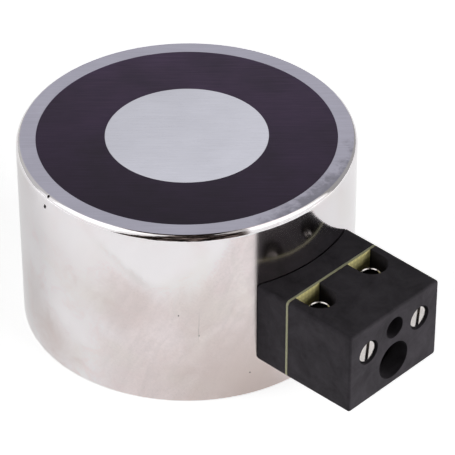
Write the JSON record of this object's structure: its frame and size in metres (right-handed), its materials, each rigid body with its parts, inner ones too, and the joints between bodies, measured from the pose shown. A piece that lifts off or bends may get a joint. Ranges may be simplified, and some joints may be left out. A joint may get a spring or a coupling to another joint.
{
  "type": "holding electromagnet",
  "caption": "Round holding electromagnet: plated steel pot with a centre pole, a potted coil ring flush with its face, and a black screw terminal block on its side.",
  "frame": {"origin": "centre of the back face, on the pot's axis", "axes": "+Z along the pot's axis to the pole face, +X out through the terminal block, +Y to the right as seen facing the block"},
  "size_m": [0.1055, 0.08, 0.048],
  "materials": {
    "nickel_plate": "bright nickel plating, pole face ground",
    "pressboard": "pressed board",
    "bobbin_nylon": "moulded",
    "copper_winding": "enamelled wire",
    "winding_tape": "polyester tape",
    "black_resin": "ground flush",
    "lead_insulation": "extruded",
    "black_moulding": "moulded, satin",
    "glass_fibre_board": "bare laminate",
    "solder": "tinned",
    "terminal_brass": "milled",
    "plated_screw": "nickel plated"
  },
  "bodies": {
    "magnet": {"pot_housing": "nickel_plate", "insulation_disc": "pressboard", "coil_bobbin": "bobbin_nylon", "coil_winding": "copper_winding", "winding_tape": "winding_tape", "potting_resin": "black_resin", "lead_bush": "bobbin_nylon", "coil_lead_left": "lead_insulation", "coil_lead_right": "lead_insulation", "terminal_saddle": "black_moulding", "terminal_board": "glass_fibre_board", "solder_joints": "solder", "terminal_body_left": "terminal_brass", "terminal_body_right": "terminal_brass", "block_washer": "plated_screw", "block_screw": "plated_screw", "terminal_cover": "black_moulding", "cover_screws": "plated_screw"},
    "clamp_left": {"pressure_plate_left": "plated_screw"},
    "screw_left": {"terminal_screw_left": "plated_screw"},
    "clamp_right": {"pressure_plate_right": "plated_screw"},
    "screw_right": {"terminal_screw_right": "plated_screw"}
  },
  "joints": [
    {"name": "clamp_travel_left", "type": "slide", "parent": "magnet", "child": "clamp_left", "axis": [0, 0, -1], "range_m": [0, 0.002]},
    {"name": "screw_turn_left", "type": "hinge", "parent": "clamp_left", "child": "screw_left", "pos_m": [0.0504, -0.0087, 0.027], "axis": [0, 0, -1], "range_deg": [0, 1440]},
    {"name": "clamp_travel_right", "type": "slide", "parent": "magnet", "child": "clamp_right", "axis": [0, 0, -1], "range_m": [0, 0.002]},
    {"name": "screw_turn_right", "type": "hinge", "parent": "clamp_right", "child": "screw_right", "pos_m": [0.0504, 0.0087, 0.027], "axis": [0, 0, -1], "range_deg": [0, 1440]}
  ],
  "couplings": [
    {"joint": "screw_turn_left", "follows": "clamp_travel_left", "rad_per_m": 12566},
    {"joint": "screw_turn_right", "follows": "clamp_travel_right", "rad_per_m": 12566}
  ]
}
